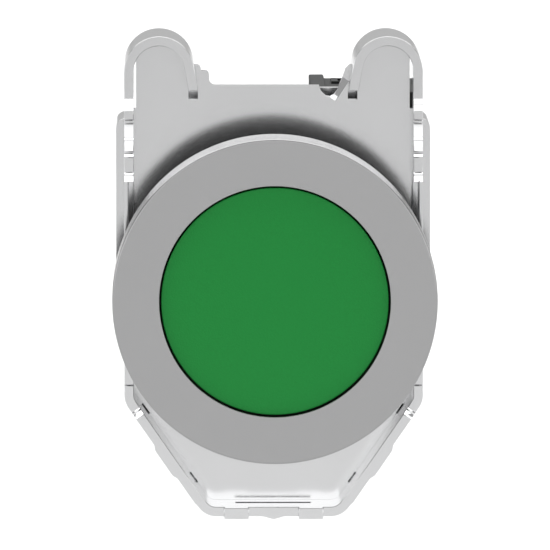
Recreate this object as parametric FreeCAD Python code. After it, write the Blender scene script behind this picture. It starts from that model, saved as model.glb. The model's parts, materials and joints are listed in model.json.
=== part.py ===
"""Panel push button: a metal head, a metal fixing collar with its latch ears, and one contact block.

Millimetres. The head's axis is Y, the button faces -Y and +Z is up. The origin is where the head's
axis crosses the front of the panel, which is the rear face of the head's gasket.
"""
import FreeCAD
import Part
import math
import os

V = FreeCAD.Vector

# --- clearances ---------------------------------------------------------------------------------
FIT = 0.05            # a sliding or turning fit, on the radius
RUN = 0.10            # a looser running fit, on the radius
TOUCH = 0.04          # between two faces that stop against each other
LOOSE = 0.30          # between pieces that pass each other without a fit

# --- head: bezel, barrel and seals ---------------------------------------------------------------
BEZEL_R = 14.5        # front rim
BEZEL_TAPER = 0.03    # the bezel's rear rim is this much smaller
BEZEL_FRONT = -8.5    # how far the bezel stands out of the panel
BEZEL_EDGE = 0.15     # rounding of the front rim
GASKET = 0.8          # thickness of the panel gasket
GASKET_INSET = 0.15   # from the bezel's rear rim
BEZEL_WALL = 1.27     # round the barrel's flange, at the bezel's rear rim
FLANGE = 2.0
SPIGOT_R = 11.1       # fills the panel's hole
SPIGOT = 5.0          # length of that part of the barrel
ROOT_R = 11.4         # the barrel inside the gasket
ROOT_SHORT = 0.1      # the root ends this far short of the gasket's rear face
TAIL_R = 10.9         # the part of the barrel that the collar slides on
TAIL_PAST = 0.5       # the tail reaches this far into the mounting frame
TAIL_WALL = 1.5
SEAL_Y = -5.6         # middle of the wiper seal in the bezel
SEAL_DEPTH = 0.6
SEAL_WIDTH = 1.0

# --- button --------------------------------------------------------------------------------------
CAP_R = 10.13
CAP_GAP = 0.18        # between the cap's rim and the bezel
CAP_RECESS = 0.6      # the cap's rim lies this far behind the bezel's front
CAP_DISH = 0.25       # depth of the finger dish
CAP = 1.8             # thickness of the cap
CAP_EDGE = 0.15
CAP_SKIRT = 3.0       # length of the skirt behind the cap
CAP_FLANGE = 1.5      # the stem's flange, inside the skirt
CAP_WALL = 0.8
STROKE = 4.3          # full travel
STEM_R = 5.0
STEM_IN_FOOT = 1.56   # how far the stem goes into the foot
GUIDE_WALL = 0.9      # the tube that the stem runs in
GUIDE_Y = 0.2         # front of that tube
SEAT_Y = 6.0          # where the return spring stands
SEAT = 2.0
FOOT_GAP = 0.5        # between the foot's disc and the barrel's bore
FOOT = 3.5            # thickness of the foot's disc
FOOT_HUB_R = 6.4
FOOT_HUB = 3.46
SNAP_REACH = 0.45     # the retaining ring behind the guide stands this far into its groove
SNAP = 0.8
SNAP_W = 1.2
SNAP_GAP = 40.0       # degrees left open in it
WIRE_R = 0.45         # return spring
SPRING_SHARE = 0.42   # its place between the guide's tube (0) and the barrel's bore (1)
SPRING_TURNS = 5

# --- bayonet between the barrel and the locking ring ----------------------------------------------
LOCK_TURN = 30.0      # degrees from open to locked
LUG_W = 2.4
LUG_DEPTH = 0.7
LUG_ANGLES = (45.0, 225.0)
GROOVE_DEPTH = 0.9
GROOVE_Y = 16.0       # front of the groove that goes round
GROOVE_W = 2.6
RING_Y = 15.7
RING = 2.9
RING_WALL = 1.15
TAB_W = 4.0           # the ring's lever, bent to the rear
TAB_T = 0.8
TAB_END = 28.5
GRIP = 1.6            # how far the lever's end bends outwards

# --- collar: band, plate and mounting frame -------------------------------------------------------
BAND_X = 13.43        # outside of the side walls
BAND_TOP = 22.8
BAND_BOTTOM = -20.4
BAND = 0.85           # thickness of the band
BAND_FRONT = 4.3
BAND_REAR = 20.5
BOTTOM_X = 6.19       # where the sloping walls would meet the bottom
SLOPE_LEAN = 34.86    # degrees that they lean out
BEND_R = 2.0          # outside radius of the band's two lower bends
EAR_R = 3.15          # outside radius of an ear
EAR_LEAN = 10.0       # degrees that an ear's inner leg leans
EAR_FOOT = 17.9       # height where the inner leg ends
TOOTH_X0 = 2.25       # two teeth at the bottom, on either side of the middle
TOOTH_X1 = 4.45
TOOTH_DROP = 0.12
SLOT_X = 3.4          # slot in the bottom wall
SLOT_W = 1.3
SLOT_DEEP = 0.6
SLOT_AHEAD = 2.4      # in front of the plate
DIMPLE_X = 0.93       # half the width of the dimple in the bottom's middle
DIMPLE = 0.27         # its depth
DIMPLE_LENGTH = 3.0
DIMPLE_FOOT = 0.1     # the dimple's sides start this far inside the wall
BOTTOM_BACK = 1.4     # the bottom's front edge lies this far behind the teeth
SLOPE_JOINT = 11.2    # and so does the slope's, from this far below the side bend
# the side walls' front edge, from the ear down: (height, how far it lies back)
SIDE_EDGE = [
    (17.2, 2.3),
    (16.95, 2.05),
    (16.64, 2.05),
    (16.15, 1.55),
    (13.77, 1.55),
    (13.51, 1.29),
    (12.52, 1.15),
    (12.52, 1.3),
    (12.4, 1.3),
    (12.05, 0.95),
    (11.97, 0.95),
    (11.97, 1.34),
    (10.68, 1.34),
    (10.45, 1.11),
    (10.32, 1.11),
    (9.81, 0.6),
]
GROOVES = (15.31, 15.0, -8.5)    # heights of the fine grooves across that edge
GROOVE = 0.1
GROOVE_REACH = 2.0
# the slopes' front edge: (how far below the side bend, how far it lies back)
SLOPE_EDGE = [
    (-1.5, 0.6),
    (1.15, 0.6),
    (1.3, 0.45),
    (1.42, 0.45),
    (1.87, 0.0),
]
INNER_STEP = 0.5      # this much of the side wall's thickness, on its inside, ends further back
INNER_STEP_BACK = 6.5
INNER_STEP_LOW = -5.0
SWELL = ((4.74, 0.0), (5.1, 0.22), (7.95, 0.22), (8.32, 0.0))    # raised part outside the slopes
SLITS = ((1.6, 2.7), (9.2, 10.3))    # slits where the slopes meet the plate
SLIT_W = 0.09
RELIEF = 1.2          # the plate's notch goes on past the leg's end
PLATE_Y = 13.5
PLATE = 1.5
TONGUE_SLOT = 0.22    # open slot between a side wall and the plate's tongue
TONGUE_SLOT_LOW = 15.9
PLATE_TOP = 18.0      # between the ears
SHOULDER_TOP = 19.85
LEFT_X = 5.75         # the left shoulder's upright edge
LEFT_STEP_X = 6.5
LEFT_STEP_Z = 19.33
LEFT_ROUND = 0.4      # rounding of the left shoulder's steps
LEFT_FILLET = 0.55    # and where it meets the plate's top
RIGHT_FLANK = [(6.95, 19.85), (6.55, 19.45), (6.25, 18.6), (5.75, 17.5), (5.6, 16.7)]
FACET_LINE = ((5.1, 16.95), (6.3, 18.75))
FACET = 0.7           # depth and width of the slanting face beside the notch
RIGHT_NOTCH = [
    (4.1, 18.2),
    (4.35, 17.45),
    (4.75, 17.05),
    (5.15, 16.95),
    (5.55, 17.15),
    (5.8, 17.5),
    (6.2, 18.6),
]
WING = 0.74           # thickness of the mounting frame's wings
WING_FRONT = 11.0
WING_TOP = 15.2
WING_BOTTOM = -4.5
WING_ROUND = 0.9
REAR = 1.5            # thickness of the mounting frame's rear plate
REAR_TOP = 17.4
REAR_SHOULDER = 1.93   # the rear plate is this much narrower above the wings, on each side
REAR_BOTTOM = -18.6
REAR_INSET = 0.15     # the rear plate's lower edges lie this far inside the band's outside

# --- fixing screw --------------------------------------------------------------------------------
SCREW_Z = -14.1
SCREW_R = 1.25
SCREW_HEAD_R = 2.0
SCREW_HEAD = 1.8
BOSS_R = 1.95
PAD_R = 1.4
PAD = 1.7
PAD_TRAVEL = 3.3      # from the thickest panel to the thinnest
PIN_R = 0.8           # the screw's tip, which turns in the pad
PIN = 1.0

# --- contact block -------------------------------------------------------------------------------
BLOCK_INSIDE = 0.35   # the block's middle lies this far inside its latch slots
BLOCK_W = 9.5
BLOCK_TOP = 16.9
BLOCK_BOTTOM = -9.8
BLOCK_END = 43.5
BLOCK_WALL = 0.9
COVER = 1.0
PLUNGER_INSIDE = 2.4  # the plunger's middle lies this far inside the barrel's bore
BLOCK_ASIDE = 1.65    # from the plunger's middle to the block's
PLUNGER_W = 2.4
PLUNGER_H = 3.2
YOKE = 1.8            # the plunger's plate inside the block
POST = 1.6
SPRING_ROOM = 2.48    # left for the contact spring when the button is pressed
YOKE_GAP = 0.9
YOKE_PAST_X = 2.0     # the yoke reaches this far past the post's axis, across
YOKE_PAST_Z = 2.6     # and upwards
TOWER = 1.3           # length of the cover's socket for the post
TOWER_WALL = 0.8
BLOCK_WIRE_R = 0.2    # the block's two springs
CONTACT_SPRING_GAP = 0.55
CONTACT_SPRING_TURNS = 4
PLUNGER_SPRING_GAP = 0.35
PLUNGER_SPRING_TURNS = 9
STOP = 0.9
BRIDGE = 0.8
BRIDGE_W = 4.4
BRIDGE_L = 14.0
CLOSING = 2.6         # button travel at which the contact closes
TIP_R = 1.2
TIP = 0.5
TIP_OFFSET = 5.8
STRIP = 0.8
STRIP_W = 4.4
CLAMP_SIDE = 0.2      # between a terminal clamp and the housing's end wall
CLAMP_OPEN = 3.3      # room for two wires under the clamp
CLAMP = 1.0
CLAMP_W = 5.4
T_SCREW_R = 1.5
T_HEAD_R = 2.6
T_HEAD = 1.9
T_SCREW_REACH = 5.0   # how far the screw reaches in front of the strip
DRIVER_SLOT = 0.8
DRIVER_REACH = 0.72   # the driver slot's length, as a share of the screw's head
WIRE_W = 5.0          # width of a wire entry
RAIL = 0.35           # the block's snap rail stands out to the side and above by this
RAIL_W = 1.37
RAIL_H = 2.0
LATCH_SLOT = (3.0, 1.6)
LATCH_HIGH = 15.0     # heights of the latch slots
LATCH_LOW = -12.2

# --- worked out from the sizes above --------------------------------------------------------------
BEZEL_BORE = CAP_R + CAP_GAP
SEAT_REAR = SEAT_Y + SEAT
FOOT_FRONT = SEAT_REAR + TOUCH
FOOT_END = FOOT_FRONT + FOOT_HUB + FOOT
STEM_END = FOOT_FRONT + STEM_IN_FOOT
BORE_R = TAIL_R - TAIL_WALL
FOOT_R = BORE_R - FOOT_GAP
SNAP_R = BORE_R + SNAP_REACH
PLUNGER_X = BORE_R - PLUNGER_INSIDE
GUIDE_R = STEM_R + FIT + GUIDE_WALL
SPRING_R = GUIDE_R + SPRING_SHARE * (BORE_R - GUIDE_R)
TAIL_END = BAND_REAR + TAIL_PAST
BEZEL_REAR_R = BEZEL_R - BEZEL_TAPER
GASKET_R = BEZEL_REAR_R - GASKET_INSET
FLANGE_R = BEZEL_REAR_R - BEZEL_WALL
RING_R = TAIL_R + RUN + RING_WALL
WING_X = BAND_X + WING
CAP_FRONT = BEZEL_FRONT + CAP_RECESS
CAP_REAR = CAP_FRONT + CAP
FLANGE_REAR = CAP_REAR + CAP_FLANGE
SKIRT_ROOM = CAP_REAR + CAP_SKIRT + STROKE + 0.6
REAR_Y = BAND_REAR
BLOCK_Y = REAR_Y + REAR
BLOCK_MID = (BLOCK_TOP + BLOCK_BOTTOM) / 2
BLOCK_X = PLUNGER_X + BLOCK_ASIDE
POSITION_PITCH = BLOCK_X + BLOCK_INSIDE
YOKE_Y = BLOCK_Y + BLOCK_WALL + YOKE_GAP
BRIDGE_Y = YOKE_Y + YOKE + STROKE - CLOSING + SPRING_ROOM
POST_ROOM = BLOCK_END - COVER - TOWER
POST_END = POST_ROOM - STROKE - LOOSE
TERMINAL_OFFSET = (BLOCK_TOP - BLOCK_BOTTOM) / 2 - BLOCK_WALL - CLAMP_SIDE - CLAMP_W / 2
STRIP_Y = BRIDGE_Y + BRIDGE + 2 * TIP + CLOSING + TOUCH
CLAMP_Y = STRIP_Y + STRIP + CLAMP_OPEN


def box(x0, x1, y0, y1, z0, z1):
    """A block between two corners."""
    return Part.makeBox(x1 - x0, y1 - y0, z1 - z0, V(x0, y0, z0))


def rod(radius, y0, y1, x=0.0, z=0.0):
    """A cylinder along Y."""
    return Part.makeCylinder(radius, y1 - y0, V(x, y0, z), V(0, 1, 0))


def tube(outer, inner, y0, y1, x=0.0, z=0.0):
    """A round ring along Y."""
    return rod(outer, y0, y1, x, z).cut(rod(inner, y0 - 1, y1 + 1, x, z))


def turned(outline):
    """A solid of revolution about the head's axis, from (radius, y) points."""
    points = [V(radius, y, 0) for radius, y in outline]
    face = Part.Face(Part.makePolygon(points + points[:1]))
    return face.revolve(V(0, 0, 0), V(0, 1, 0), 360)


def mirrored(shape):
    """The shape's mirror image, left for right."""
    return shape.mirror(V(0, 0, 0), V(1, 0, 0))


def turn(shape, degrees):
    """The shape turned about the head's axis."""
    copy = shape.copy()
    copy.rotate(V(0, 0, 0), V(0, 1, 0), degrees)
    return copy


def plate(edges, y0, y1):
    """A plate from edges that lie in the plane y = 0."""
    face = Part.Face(Part.Wire(edges))
    solid = face.extrude(V(0, y1 - y0, 0))
    solid.translate(V(0, y0, 0))
    return solid


def flat(point):
    """A point (x, z) of an outline, as a vector in the plane y = 0."""
    return V(point[0], 0, point[1])


def helix_spring(radius, wire_r, y0, y1, turns, x=0.0, z=0.0):
    """A coil spring along Y, whose wire stays between y0 and y1."""
    length = y1 - y0 - 2 * wire_r
    helix = Part.makeLongHelix(length / turns, length, radius)
    section = Part.Wire(Part.makeCircle(wire_r, V(radius, 0, 0), V(0, 1, 0)))
    coil = Part.Wire(helix.Edges).makePipeShell([section], True, True)
    coil.rotate(V(0, 0, 0), V(1, 0, 0), -90)
    coil.translate(V(x, y0 + wire_r, z))
    return coil


def screw(x, z, head_y, head_r, head, shank_r, tip_y, pin_r=0.0, pin=0.0):
    """A screw along Y with its slotted head at the rear and, if asked, a thin pin at its tip."""
    body = rod(head_r, head_y, head_y + head, x, z).fuse(rod(shank_r, tip_y, head_y, x, z))
    if pin:
        body = body.fuse(rod(pin_r, tip_y - pin, tip_y, x, z))
    slot_y = head_y + head / 2
    half = DRIVER_SLOT / 2
    slot = box(x - head_r, x + head_r, slot_y, head_y + head + 1, z - half, z + half)
    cross = slot.copy()
    cross.rotate(V(x, 0, z), V(0, 1, 0), 90)
    keep = rod(head_r * DRIVER_REACH, slot_y, head_y + head + 1, x, z)
    return body.cut(slot.fuse(cross).common(keep)).removeSplitter()


# --- head ----------------------------------------------------------------------------------------
def bezel_ring():
    rear = -GASKET
    seat = rear - FLANGE
    outline = [
        (BEZEL_BORE, BEZEL_FRONT),
        (BEZEL_R - BEZEL_EDGE, BEZEL_FRONT),
        (BEZEL_R, BEZEL_FRONT + BEZEL_EDGE),
        (BEZEL_REAR_R, rear),
        (FLANGE_R, rear),
        (FLANGE_R, seat),
        (BEZEL_BORE, seat),
    ]
    groove = tube(BEZEL_BORE + SEAL_DEPTH, CAP_R, SEAL_Y - SEAL_WIDTH / 2, SEAL_Y + SEAL_WIDTH / 2)
    return turned(outline).cut(groove)


def wiper_seal():
    lip = SEAL_WIDTH / 4
    outline = [
        (BEZEL_BORE + SEAL_DEPTH, SEAL_Y - SEAL_WIDTH / 2),
        (BEZEL_BORE + SEAL_DEPTH, SEAL_Y + SEAL_WIDTH / 2),
        (BEZEL_BORE, SEAL_Y + SEAL_WIDTH / 2),
        (CAP_R + FIT, SEAL_Y + lip),
        (CAP_R + FIT, SEAL_Y - lip),
        (BEZEL_BORE, SEAL_Y - SEAL_WIDTH / 2),
    ]
    return turned(outline)


def sector(outer, inner, y0, y1, start, end):
    """Part of a round ring along Y, from one angle about Y to another."""
    corners = [V(inner, y0, 0), V(outer, y0, 0), V(outer, y1, 0), V(inner, y1, 0)]
    face = Part.Face(Part.makePolygon(corners + corners[:1]))
    return turn(face.revolve(V(0, 0, 0), V(0, 1, 0), end - start), start)


def bayonet_path(angle):
    """The cut that one lug of the locking ring uses: in from the rear, then round to locked."""
    floor = TAIL_R - GROOVE_DEPTH
    half = math.degrees((LUG_W / 2 + LOOSE / 2) / floor)
    entry = sector(TAIL_R + 1, floor, GROOVE_Y, TAIL_END + 1, -half, half)
    round_it = sector(TAIL_R + 1, floor, GROOVE_Y, GROOVE_Y + GROOVE_W, -half, LOCK_TURN + half)
    return turn(entry.fuse(round_it), angle)


def head_barrel():
    front = -GASKET - FLANGE
    outline = [
        (BEZEL_BORE, front),
        (FLANGE_R, front),
        (FLANGE_R, -GASKET),
        (ROOT_R, -GASKET),
        (ROOT_R, -ROOT_SHORT),
        (SPIGOT_R, -ROOT_SHORT),
        (SPIGOT_R, SPIGOT),
        (TAIL_R, SPIGOT),
        (TAIL_R, TAIL_END),
        (BORE_R, TAIL_END),
        (BORE_R, SKIRT_ROOM),
        (BEZEL_BORE, SKIRT_ROOM),
    ]
    barrel = turned(outline)
    for angle in LUG_ANGLES:
        barrel = barrel.cut(bayonet_path(angle))
    snap_groove = tube(SNAP_R + FIT, BORE_R - 1, FOOT_FRONT - TOUCH, FOOT_FRONT + SNAP + TOUCH)
    return barrel.cut(snap_groove)


def panel_gasket():
    return tube(GASKET_R, ROOT_R + FIT, -GASKET, 0)


def guide_sleeve():
    pipe = tube(GUIDE_R, STEM_R + FIT, GUIDE_Y, SEAT_REAR)
    return pipe.fuse(tube(BORE_R - FIT / 2, STEM_R + FIT, SEAT_Y, SEAT_REAR)).removeSplitter()


def retaining_ring():
    half_gap = SNAP_GAP / 2
    return sector(SNAP_R, SNAP_R - SNAP_W, FOOT_FRONT, FOOT_FRONT + SNAP, half_gap, 360 - half_gap)


def return_spring():
    return helix_spring(SPRING_R, WIRE_R, FLANGE_REAR + TOUCH, SEAT_Y - TOUCH, SPRING_TURNS)


# --- button --------------------------------------------------------------------------------------
def push_cap():
    rim = [
        (CAP_R - CAP_EDGE, CAP_FRONT),
        (CAP_R, CAP_FRONT + CAP_EDGE),
        (CAP_R, CAP_REAR + CAP_SKIRT),
        (CAP_R - CAP_WALL, CAP_REAR + CAP_SKIRT),
        (CAP_R - CAP_WALL, CAP_REAR),
        (0, CAP_REAR),
        (0, CAP_FRONT),
    ]
    dish_rim = CAP_R - CAP_EDGE
    dish_r = (dish_rim ** 2 + CAP_DISH ** 2) / (2 * CAP_DISH)
    dish = Part.makeSphere(dish_r, V(0, CAP_FRONT + CAP_DISH - dish_r, 0))
    return turned(rim).cut(dish)


def pusher_stem():
    flange = rod(CAP_R - CAP_WALL - FIT, CAP_REAR, FLANGE_REAR)
    return flange.fuse(rod(STEM_R, FLANGE_REAR, STEM_END)).removeSplitter()


def actuator_foot():
    hub = rod(FOOT_HUB_R, FOOT_FRONT, FOOT_FRONT + FOOT_HUB)
    disc = rod(FOOT_R, FOOT_FRONT + FOOT_HUB, FOOT_END)
    return hub.fuse(disc).removeSplitter().cut(rod(STEM_R, FOOT_FRONT - 1, STEM_END))


# --- collar --------------------------------------------------------------------------------------
def unit(dx, dz):
    """A direction of length one."""
    length = math.hypot(dx, dz)
    return dx / length, dz / length


def outward(direction):
    """The normal on the right-hand side of a direction, which is the band's outside."""
    return direction[1], -direction[0]


def bend_centre(corner, before, after, radius):
    """The centre of a bend of this radius where two directions meet at a corner."""
    normal_a = outward(before)
    normal_b = outward(after)
    mid = unit(normal_a[0] + normal_b[0], normal_a[1] + normal_b[1])
    reach = radius / (mid[0] * normal_a[0] + mid[1] * normal_a[1])
    return corner[0] - reach * mid[0], corner[1] - reach * mid[1]


ALONG = (1.0, 0.0)
SLOPE = (math.sin(math.radians(SLOPE_LEAN)), math.cos(math.radians(SLOPE_LEAN)))
UP = (0.0, 1.0)
LEG = (-math.sin(math.radians(EAR_LEAN)), -math.cos(math.radians(EAR_LEAN)))
LOW_CORNER = (BOTTOM_X, BAND_BOTTOM)
SIDE_CORNER = (BAND_X, BAND_BOTTOM + (BAND_X - BOTTOM_X) * SLOPE[1] / SLOPE[0])
LOW_BEND = bend_centre(LOW_CORNER, ALONG, SLOPE, BEND_R)
SIDE_BEND = bend_centre(SIDE_CORNER, SLOPE, UP, BEND_R)
EAR_CENTRE = (BAND_X - EAR_R, BAND_TOP - EAR_R)


def on_arc(centre, radius, normal):
    """A point (x, z) at this radius from a centre, along a normal."""
    return centre[0] + radius * normal[0], centre[1] + radius * normal[1]


def leg_point(inset, height):
    """The point of the ear's inner leg at a height, this far in from the band's outside."""
    start = on_arc(EAR_CENTRE, EAR_R - inset, outward(LEG))
    along = (height - start[1]) / LEG[1]
    return start[0] + along * LEG[0], height


def band_path(inset, foot):
    """Edges from the bottom's middle up the right side and over the ear, down to its leg's foot."""
    edges = []
    here = (0.0, BAND_BOTTOM + inset)
    bends = [
        (LOW_BEND, BEND_R, ALONG, SLOPE),
        (SIDE_BEND, BEND_R, SLOPE, UP),
        (EAR_CENTRE, EAR_R, UP, LEG),
    ]
    for centre, radius, before, after in bends:
        normal_a = outward(before)
        normal_b = outward(after)
        middle = unit(normal_a[0] + normal_b[0], normal_a[1] + normal_b[1])
        if before == UP:
            middle = (math.sin(math.radians(EAR_LEAN / 2)), math.cos(math.radians(EAR_LEAN / 2)))
        start = on_arc(centre, radius - inset, normal_a)
        edges.append(Part.makeLine(flat(here), flat(start)))
        here = on_arc(centre, radius - inset, normal_b)
        arc = Part.Arc(flat(start), flat(on_arc(centre, radius - inset, middle)), flat(here))
        edges.append(arc.toShape())
    edges.append(Part.makeLine(flat(here), flat(leg_point(inset, foot))))
    return edges


def half_band():
    """The right half of the band, from the bottom's middle to the ear's foot."""
    outer = band_path(0, EAR_FOOT)
    inner = band_path(BAND, EAR_FOOT)
    bottom = Part.makeLine(flat((0, BAND_BOTTOM)), flat((0, BAND_BOTTOM + BAND)))
    foot = Part.makeLine(flat(leg_point(0, EAR_FOOT)), flat(leg_point(BAND, EAR_FOOT)))
    wire = Part.__sortEdges__(outer + [foot] + inner + [bottom])
    return plate(wire, BAND_FRONT, BAND_REAR)


def front_cut(edge, x0, x1):
    """What an upright wall loses at its front: edge is (height, how far back) points, from the top down."""
    front = BAND_FRONT - 1
    points = [V(x0, front, edge[0][0])]
    points += [V(x0, BAND_FRONT + back, height) for height, back in edge]
    points += [V(x0, front, edge[-1][0])]
    face = Part.Face(Part.makePolygon(points + points[:1]))
    return face.extrude(V(x1 - x0, 0, 0))


def on_slope(shape):
    """A shape made below an upright wall's outside at x = 0, moved on to the right-hand slope."""
    copy = shape.copy()
    copy.rotate(V(0, 0, 0), V(0, 1, 0), SLOPE_LEAN)
    copy.translate(flat(SIDE_CORNER))
    return copy


def side_cuts():
    """The right-hand wall's front edge: its steps, its fine grooves and its inner step."""
    top = (BAND_TOP + 1, SIDE_EDGE[0][1])
    foot = (SIDE_CORNER[1], SIDE_EDGE[-1][1])
    cut = front_cut([top] + SIDE_EDGE + [foot], 0, BAND_X + 1)
    for height in GROOVES:
        low = height - GROOVE / 2
        cut = cut.fuse(box(0, BAND_X + 1, BAND_FRONT - 1, BAND_FRONT + GROOVE_REACH, low, low + GROOVE))
    x0 = BAND_X - BAND - 1
    y1 = BAND_FRONT + INNER_STEP_BACK
    return cut.fuse(box(x0, x0 + 1 + INNER_STEP, BAND_FRONT - 1, y1, INNER_STEP_LOW, SIDE_EDGE[-1][0]))


def slope_cuts():
    """The right-hand slope's front edge, from the side bend to the bottom's middle."""
    inner, outer = -2 * BAND, BAND
    upper = front_cut([(-below, back) for below, back in SLOPE_EDGE], inner, outer)
    past = SLOPE_JOINT + BEND_R + BAND
    lower = front_cut([(-SLOPE_JOINT, BOTTOM_BACK), (-past, BOTTOM_BACK)], inner, outer)
    y1 = BAND_FRONT + BOTTOM_BACK
    bottom = box(-1, LOW_CORNER[0], BAND_FRONT - 1, y1, BAND_BOTTOM - 1, BAND_BOTTOM + BAND + FIT)
    return on_slope(upper.fuse(lower)).fuse(bottom)


def swell():
    """The raised part outside the right-hand slope."""
    points = [(out, -below) for below, out in SWELL]
    points += [(-FIT, points[-1][1]), (-FIT, points[0][1])]
    return on_slope(wedge(points, BAND_FRONT, BAND_REAR))


def dimple():
    """A shallow V across the bottom's middle, at its front."""
    level = BAND_BOTTOM
    high = level + DIMPLE_FOOT
    points = [(-DIMPLE_X, level), (-DIMPLE_X, high), (DIMPLE_X, high), (DIMPLE_X, level), (0, level - DIMPLE)]
    front = BAND_FRONT + BOTTOM_BACK
    return wedge(points, front, front + DIMPLE_LENGTH)


def tooth():
    """The right-hand tooth, whose inner face is the bottom's own."""
    top = BAND_BOTTOM + BAND
    return box(TOOTH_X0, TOOTH_X1, BAND_FRONT, BAND_REAR, BAND_BOTTOM - TOOTH_DROP, top)


def collar_band():
    right = half_band().cut(side_cuts()).cut(slope_cuts()).fuse(swell())
    right = right.fuse(tooth())
    band = right.fuse(mirrored(right))
    band = band.fuse(dimple())
    slot_y = PLATE_Y - SLOT_AHEAD
    top = BAND_BOTTOM + BAND + 1
    slot = box(-SLOT_X, SLOT_X, slot_y - SLOT_W, slot_y, BAND_BOTTOM + BAND - SLOT_DEEP, top)
    return band.cut(slot).removeSplitter()


def wedge(points, y0, y1):
    """A straight-sided plate through (x, z) corners."""
    corners = [flat(point) for point in points]
    return plate(Part.makePolygon(corners + corners[:1]).Edges, y0, y1)


def left_shoulder():
    """The stepped shoulder beside the left-hand ear, drawn on the right."""
    low = EAR_FOOT - RELIEF
    points = [
        leg_point(0, SHOULDER_TOP),
        (LEFT_STEP_X, SHOULDER_TOP),
        (LEFT_STEP_X, LEFT_STEP_Z),
        (LEFT_X, LEFT_STEP_Z),
        (LEFT_X, low),
        leg_point(0, low),
    ]
    corners = [(LEFT_STEP_X, SHOULDER_TOP), (LEFT_X, LEFT_STEP_Z)]
    return rounded(wedge(points, PLATE_Y, PLATE_Y + PLATE), corners, LEFT_ROUND)


def rounded(shape, corners, radius):
    """The shape with a fillet on its edges along Y at these (x, z) corners."""
    near = 1e-3
    edges = []
    for edge in shape.Edges:
        ends = [vertex.Point for vertex in edge.Vertexes]
        along = len(ends) == 2 and math.hypot(ends[0].x - ends[1].x, ends[0].z - ends[1].z) < near
        if along and any(math.hypot(ends[0].x - x, ends[0].z - z) < near for x, z in corners):
            edges.append(edge)
    return shape.makeFillet(radius, edges)


def ear_cuts():
    """What frees the right-hand ear from the plate: the leg's slot and the slit beside the tongue."""
    low = EAR_FOOT - RELIEF
    strip = [
        leg_point(0, BAND_TOP),
        leg_point(BAND, BAND_TOP),
        leg_point(BAND, EAR_FOOT),
        (leg_point(BAND, EAR_FOOT)[0], low),
        (leg_point(0, EAR_FOOT)[0], low),
        leg_point(0, EAR_FOOT),
    ]
    slot = wedge(strip, PLATE_Y - 1, PLATE_Y + PLATE + 1)
    x1 = BAND_X - BAND
    return slot.fuse(box(x1 - TONGUE_SLOT, x1, PLATE_Y - 1, PLATE_Y + PLATE + 1, TONGUE_SLOT_LOW, BAND_TOP))


def slope_slits():
    """Slits in the plate's front where it meets the right-hand slope."""
    x1 = -BAND
    slits = [box(x1 - SLIT_W, x1, PLATE_Y - 1, PLATE_Y + PLATE / 2, -far, -near) for near, far in SLITS]
    return on_slope(Part.makeCompound(slits))


def collar_plate():
    rear = PLATE_Y + PLATE
    half = band_path(BAND, PLATE_TOP)
    top = [
        Part.makeLine(flat(leg_point(BAND, PLATE_TOP)), flat((0, PLATE_TOP))),
        Part.makeLine(flat((0, PLATE_TOP)), flat((0, BAND_BOTTOM + BAND))),
    ]
    right = plate(Part.__sortEdges__(half + top), PLATE_Y, rear)
    right_shoulder = [leg_point(0, SHOULDER_TOP)] + RIGHT_FLANK + [leg_point(0, EAR_FOOT - RELIEF)]
    left = mirrored(right).fuse(mirrored(left_shoulder())).removeSplitter()
    left = rounded(left, [(-LEFT_X, PLATE_TOP)], LEFT_FILLET)
    body = left.fuse(right).fuse(wedge(right_shoulder, PLATE_Y, rear))
    cuts = ear_cuts().fuse(slope_slits())
    body = body.cut(cuts).cut(mirrored(cuts))
    body = body.cut(wedge(RIGHT_NOTCH, PLATE_Y - 1, rear + 1))
    body = body.cut(notch_facet())
    body = body.cut(rod(TAIL_R + RUN, PLATE_Y - 1, rear + 1))
    boss = rod(BOSS_R, PLATE_Y, BAND_REAR, 0, SCREW_Z)
    boss = boss.cut(rod(RING_R + LOOSE, RING_Y - LOOSE, RING_Y + RING + LOOSE))
    body = body.fuse(boss).cut(rod(SCREW_R + FIT, PLATE_Y - 1, BAND_REAR + 1, 0, SCREW_Z))
    return body.removeSplitter()


def notch_facet():
    """A slanting cut that widens the right shoulder's notch towards the front."""
    low, high = FACET_LINE
    run = unit(high[0] - low[0], high[1] - low[1])
    side = outward(run)
    front = [flat(low), flat(high)]
    front += [flat((x + side[0] * FACET, z + side[1] * FACET)) for x, z in (high, low)]
    ridge = [flat(low) + V(0, FACET, 0), flat(high) + V(0, FACET, 0)]
    faces = [
        [front[0], front[1], front[2], front[3]],
        [front[0], front[1], ridge[1], ridge[0]],
        [front[3], front[2], ridge[1], ridge[0]],
        [front[0], front[3], ridge[0]],
        [front[1], front[2], ridge[1]],
    ]
    shell = Part.makeShell([Part.Face(Part.makePolygon(corners + corners[:1])) for corners in faces])
    solid = Part.makeSolid(shell)
    solid.translate(V(0, PLATE_Y, 0))
    return solid


def rear_plate():
    """The right half of the mounting frame's rear plate, which follows the band's lower bends."""
    foot = band_path(REAR_INSET, EAR_FOOT)
    top = foot[-1].lastVertex(True).Point
    middle = V(0, 0, top.z)
    closing = [Part.makeLine(top, middle), Part.makeLine(middle, V(0, 0, BAND_BOTTOM + REAR_INSET))]
    whole = plate(Part.__sortEdges__(foot + closing), REAR_Y, REAR_Y + REAR)
    upper = box(0, BAND_X - REAR_SHOULDER, REAR_Y, REAR_Y + REAR, 0, REAR_TOP)
    lower = box(0, WING_X, REAR_Y, REAR_Y + REAR, REAR_BOTTOM, WING_TOP)
    return whole.common(upper.fuse(lower)).fuse(box(0, WING_X, REAR_Y, REAR_Y + REAR, WING_BOTTOM, WING_TOP))


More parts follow.
